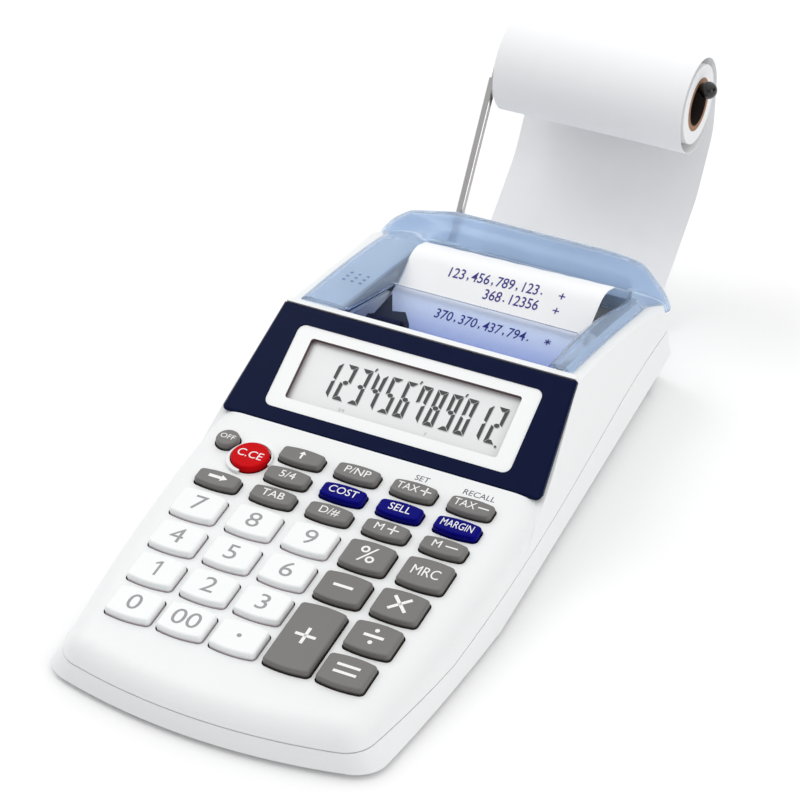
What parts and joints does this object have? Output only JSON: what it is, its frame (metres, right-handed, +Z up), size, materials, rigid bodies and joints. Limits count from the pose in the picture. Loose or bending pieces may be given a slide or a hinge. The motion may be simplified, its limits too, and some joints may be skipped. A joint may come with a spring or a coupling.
{
  "type": "printing_calculator",
  "caption": "Desk calculator with a paper tape printer: sloped key panel, tilted display, blue see-through printer cover and a paper roll on a swinging wire arm behind the case.",
  "frame": {"origin": "centre of the bounding box on the ground", "axes": "+X to the right as the user sits, +Y to the back, +Z up"},
  "size_m": [0.0992, 0.2501, 0.0767],
  "materials": {
    "case_white": "fine matte moulded plastic",
    "bezel_navy": "polished",
    "frame_white": "fine matte moulded plastic",
    "lcd_grey": "smooth reflective panel",
    "cover_blue": "see-through tinted plastic",
    "printer_black": "fine matte moulded plastic",
    "rubber_dark": "plain",
    "gear_white": "moulded",
    "motor_steel": "drawn can",
    "gear_brass": "machined",
    "steel_bright": "ground",
    "ink_violet": "ink soaked",
    "paper_white": "plain",
    "core_brown": "plain",
    "chrome_bright": "polished plating",
    "knob_black": "polished",
    "cell_jacket": "printed jacket",
    "board_green": "solder mask",
    "mat_grey": "moulded",
    "key_white": "satin moulded",
    "key_grey": "satin moulded",
    "key_red": "satin moulded",
    "key_blue": "satin moulded"
  },
  "bodies": {
    "housing": {"lower_case": "case_white", "upper_case": "case_white", "display_bezel": "bezel_navy", "display_frame": "frame_white", "lcd_panel": "lcd_grey", "printer_frame": "printer_black", "drive_motor": "motor_steel", "carriage_shaft": "steel_bright", "paper_strip": "paper_white", "batteries": "cell_jacket", "main_board": "board_green", "key_mat": "mat_grey", "rubber_feet": "rubber_dark", "case_screws": "steel_bright"},
    "cover": {"printer_cover": "cover_blue"},
    "arm": {"arm_tube": "chrome_bright"},
    "rod": {"arm_rod": "chrome_bright", "arm_knob": "knob_black"},
    "roll": {"paper_roll": "paper_white", "roll_core": "core_brown"},
    "door": {"battery_door": "case_white"},
    "platen": {"platen_roller": "rubber_dark", "feed_gear": "gear_white"},
    "pinion": {"motor_pinion": "gear_brass"},
    "carriage": {"print_carriage": "printer_black"},
    "inker": {"ink_roller": "ink_violet"},
    "key_off_body": {"key_off": "key_grey"},
    "key_clear_body": {"key_clear": "key_red"},
    "key_up_body": {"key_up": "key_grey"},
    "key_print_body": {"key_print": "key_grey"},
    "key_tax_plus_body": {"key_tax_plus": "key_grey"},
    "key_tax_minus_body": {"key_tax_minus": "key_grey"},
    "key_round_body": {"key_round": "key_grey"},
    "key_cost_body": {"key_cost": "key_blue"},
    "key_sell_body": {"key_sell": "key_blue"},
    "key_margin_body": {"key_margin": "key_blue"},
    "key_back_body": {"key_back": "key_grey"},
    "key_tab_body": {"key_tab": "key_grey"},
    "key_date_body": {"key_date": "key_grey"},
    "key_memory_plus_body": {"key_memory_plus": "key_grey"},
    "key_memory_minus_body": {"key_memory_minus": "key_grey"},
    "key_7_body": {"key_7": "key_white"},
    "key_8_body": {"key_8": "key_white"},
    "key_9_body": {"key_9": "key_white"},
    "key_percent_body": {"key_percent": "key_grey"},
    "key_memory_recall_body": {"key_memory_recall": "key_grey"},
    "key_4_body": {"key_4": "key_white"},
    "key_5_body": {"key_5": "key_white"},
    "key_6_body": {"key_6": "key_white"},
    "key_minus_body": {"key_minus": "key_grey"},
    "key_times_body": {"key_times": "key_grey"},
    "key_1_body": {"key_1": "key_white"},
    "key_2_body": {"key_2": "key_white"},
    "key_3_body": {"key_3": "key_white"},
    "key_plus_body": {"key_plus": "key_grey"},
    "key_divide_body": {"key_divide": "key_grey"},
    "key_0_body": {"key_0": "key_white"},
    "key_00_body": {"key_00": "key_white"},
    "key_point_body": {"key_point": "key_white"},
    "key_equals_body": {"key_equals": "key_grey"}
  },
  "joints": [
    {"name": "cover_lift", "type": "slide", "parent": "housing", "child": "cover", "axis": [0, 0, 1], "range_m": [0, 0.025], "deforming": ["paper_strip"]},
    {"name": "arm_fold", "type": "hinge", "parent": "housing", "child": "arm", "pos_m": [-0.0283, 0.0771, 0.016], "axis": [1, 0, 0], "range_deg": [-25, 15], "deforming": ["paper_strip"]},
    {"name": "rod_slide", "type": "slide", "parent": "arm", "child": "rod", "axis": [0, 0.5417, 0.8406], "range_m": [-0.006, 0.012], "deforming": ["paper_strip"]},
    {"name": "roll_spin", "type": "hinge", "parent": "rod", "child": "roll", "pos_m": [0.0038, 0.11093, 0.0633], "axis": [1, 0, 0], "continuous": true},
    {"name": "door_slide", "type": "slide", "parent": "housing", "child": "door", "axis": [0, -1, 0], "range_m": [0, 0.008]},
    {"name": "platen_turn", "type": "hinge", "parent": "housing", "child": "platen", "pos_m": [0.0025, 0.027, 0.0195], "axis": [1, 0, 0], "continuous": true},
    {"name": "pinion_turn", "type": "hinge", "parent": "housing", "child": "pinion", "pos_m": [0.0351, 0.01784, 0.01263], "axis": [1, 0, 0], "continuous": true},
    {"name": "carriage_slide", "type": "slide", "parent": "housing", "child": "carriage", "axis": [1, 0, 0], "range_m": [-0.002, 0.04]},
    {"name": "inker_turn", "type": "hinge", "parent": "carriage", "child": "inker", "pos_m": [-0.018, 0.0153, 0.0312], "axis": [1, 0, 0], "continuous": true},
    {"name": "key_off_press", "type": "slide", "parent": "housing", "child": "key_off_body", "axis": [0, 0.1132, -0.9936], "range_m": [0, 0.0015], "stiffness_N_per_m": 300, "springref_m": -0.0003},
    {"name": "key_clear_press", "type": "slide", "parent": "housing", "child": "key_clear_body", "axis": [0, 0.1132, -0.9936], "range_m": [0, 0.0015], "stiffness_N_per_m": 300, "springref_m": -0.0003},
    {"name": "key_up_press", "type": "slide", "parent": "housing", "child": "key_up_body", "axis": [0, 0.1132, -0.9936], "range_m": [0, 0.0015], "stiffness_N_per_m": 300, "springref_m": -0.0003},
    {"name": "key_print_press", "type": "slide", "parent": "housing", "child": "key_print_body", "axis": [0, 0.1132, -0.9936], "range_m": [0, 0.0015], "stiffness_N_per_m": 300, "springref_m": -0.0003},
    {"name": "key_tax_plus_press", "type": "slide", "parent": "housing", "child": "key_tax_plus_body", "axis": [0, 0.1132, -0.9936], "range_m": [0, 0.0015], "stiffness_N_per_m": 300, "springref_m": -0.0003},
    {"name": "key_tax_minus_press", "type": "slide", "parent": "housing", "child": "key_tax_minus_body", "axis": [0, 0.1132, -0.9936], "range_m": [0, 0.0015], "stiffness_N_per_m": 300, "springref_m": -0.0003},
    {"name": "key_round_press", "type": "slide", "parent": "housing", "child": "key_round_body", "axis": [0, 0.1132, -0.9936], "range_m": [0, 0.0015], "stiffness_N_per_m": 300, "springref_m": -0.0003},
    {"name": "key_cost_press", "type": "slide", "parent": "housing", "child": "key_cost_body", "axis": [0, 0.1132, -0.9936], "range_m": [0, 0.0015], "stiffness_N_per_m": 300, "springref_m": -0.0003},
    {"name": "key_sell_press", "type": "slide", "parent": "housing", "child": "key_sell_body", "axis": [0, 0.1132, -0.9936], "range_m": [0, 0.0015], "stiffness_N_per_m": 300, "springref_m": -0.0003},
    {"name": "key_margin_press", "type": "slide", "parent": "housing", "child": "key_margin_body", "axis": [0, 0.1132, -0.9936], "range_m": [0, 0.0015], "stiffness_N_per_m": 300, "springref_m": -0.0003},
    {"name": "key_back_press", "type": "slide", "parent": "housing", "child": "key_back_body", "axis": [0, 0.1132, -0.9936], "range_m": [0, 0.0015], "stiffness_N_per_m": 300, "springref_m": -0.0003},
    {"name": "key_tab_press", "type": "slide", "parent": "housing", "child": "key_tab_body", "axis": [0, 0.1132, -0.9936], "range_m": [0, 0.0015], "stiffness_N_per_m": 300, "springref_m": -0.0003},
    {"name": "key_date_press", "type": "slide", "parent": "housing", "child": "key_date_body", "axis": [0, 0.1132, -0.9936], "range_m": [0, 0.0015], "stiffness_N_per_m": 300, "springref_m": -0.0003},
    {"name": "key_memory_plus_press", "type": "slide", "parent": "housing", "child": "key_memory_plus_body", "axis": [0, 0.1132, -0.9936], "range_m": [0, 0.0015], "stiffness_N_per_m": 300, "springref_m": -0.0003},
    {"name": "key_memory_minus_press", "type": "slide", "parent": "housing", "child": "key_memory_minus_body", "axis": [0, 0.1132, -0.9936], "range_m": [0, 0.0015], "stiffness_N_per_m": 300, "springref_m": -0.0003},
    {"name": "key_7_press", "type": "slide", "parent": "housing", "child": "key_7_body", "axis": [0, 0.1132, -0.9936], "range_m": [0, 0.0015], "stiffness_N_per_m": 300, "springref_m": -0.0003},
    {"name": "key_8_press", "type": "slide", "parent": "housing", "child": "key_8_body", "axis": [0, 0.1132, -0.9936], "range_m": [0, 0.0015], "stiffness_N_per_m": 300, "springref_m": -0.0003},
    {"name": "key_9_press", "type": "slide", "parent": "housing", "child": "key_9_body", "axis": [0, 0.1132, -0.9936], "range_m": [0, 0.0015], "stiffness_N_per_m": 300, "springref_m": -0.0003},
    {"name": "key_percent_press", "type": "slide", "parent": "housing", "child": "key_percent_body", "axis": [0, 0.1132, -0.9936], "range_m": [0, 0.0015], "stiffness_N_per_m": 300, "springref_m": -0.0003},
    {"name": "key_memory_recall_press", "type": "slide", "parent": "housing", "child": "key_memory_recall_body", "axis": [0, 0.1132, -0.9936], "range_m": [0, 0.0015], "stiffness_N_per_m": 300, "springref_m": -0.0003},
    {"name": "key_4_press", "type": "slide", "parent": "housing", "child": "key_4_body", "axis": [0, 0.1132, -0.9936], "range_m": [0, 0.0015], "stiffness_N_per_m": 300, "springref_m": -0.0003},
    {"name": "key_5_press", "type": "slide", "parent": "housing", "child": "key_5_body", "axis": [0, 0.1132, -0.9936], "range_m": [0, 0.0015], "stiffness_N_per_m": 300, "springref_m": -0.0003},
    {"name": "key_6_press", "type": "slide", "parent": "housing", "child": "key_6_body", "axis": [0, 0.1132, -0.9936], "range_m": [0, 0.0015], "stiffness_N_per_m": 300, "springref_m": -0.0003},
    {"name": "key_minus_press", "type": "slide", "parent": "housing", "child": "key_minus_body", "axis": [0, 0.1132, -0.9936], "range_m": [0, 0.0015], "stiffness_N_per_m": 300, "springref_m": -0.0003},
    {"name": "key_times_press", "type": "slide", "parent": "housing", "child": "key_times_body", "axis": [0, 0.1132, -0.9936], "range_m": [0, 0.0015], "stiffness_N_per_m": 300, "springref_m": -0.0003},
    {"name": "key_1_press", "type": "slide", "parent": "housing", "child": "key_1_body", "axis": [0, 0.1132, -0.9936], "range_m": [0, 0.0015], "stiffness_N_per_m": 300, "springref_m": -0.0003},
    {"name": "key_2_press", "type": "slide", "parent": "housing", "child": "key_2_body", "axis": [0, 0.1132, -0.9936], "range_m": [0, 0.0015], "stiffness_N_per_m": 300, "springref_m": -0.0003},
    {"name": "key_3_press", "type": "slide", "parent": "housing", "child": "key_3_body", "axis": [0, 0.1132, -0.9936], "range_m": [0, 0.0015], "stiffness_N_per_m": 300, "springref_m": -0.0003},
    {"name": "key_plus_press", "type": "slide", "parent": "housing", "child": "key_plus_body", "axis": [0, 0.1132, -0.9936], "range_m": [0, 0.0015], "stiffness_N_per_m": 300, "springref_m": -0.0003},
    {"name": "key_divide_press", "type": "slide", "parent": "housing", "child": "key_divide_body", "axis": [0, 0.1132, -0.9936], "range_m": [0, 0.0015], "stiffness_N_per_m": 300, "springref_m": -0.0003},
    {"name": "key_0_press", "type": "slide", "parent": "housing", "child": "key_0_body", "axis": [0, 0.1132, -0.9936], "range_m": [0, 0.0015], "stiffness_N_per_m": 300, "springref_m": -0.0003},
    {"name": "key_00_press", "type": "slide", "parent": "housing", "child": "key_00_body", "axis": [0, 0.1132, -0.9936], "range_m": [0, 0.0015], "stiffness_N_per_m": 300, "springref_m": -0.0003},
    {"name": "key_point_press", "type": "slide", "parent": "housing", "child": "key_point_body", "axis": [0, 0.1132, -0.9936], "range_m": [0, 0.0015], "stiffness_N_per_m": 300, "springref_m": -0.0003},
    {"name": "key_equals_press", "type": "slide", "parent": "housing", "child": "key_equals_body", "axis": [0, 0.1132, -0.9936], "range_m": [0, 0.0015], "stiffness_N_per_m": 300, "springref_m": -0.0003}
  ],
  "couplings": [
    {"joint": "pinion_turn", "follows": "platen_turn", "ratio": -1.7143}
  ]
}
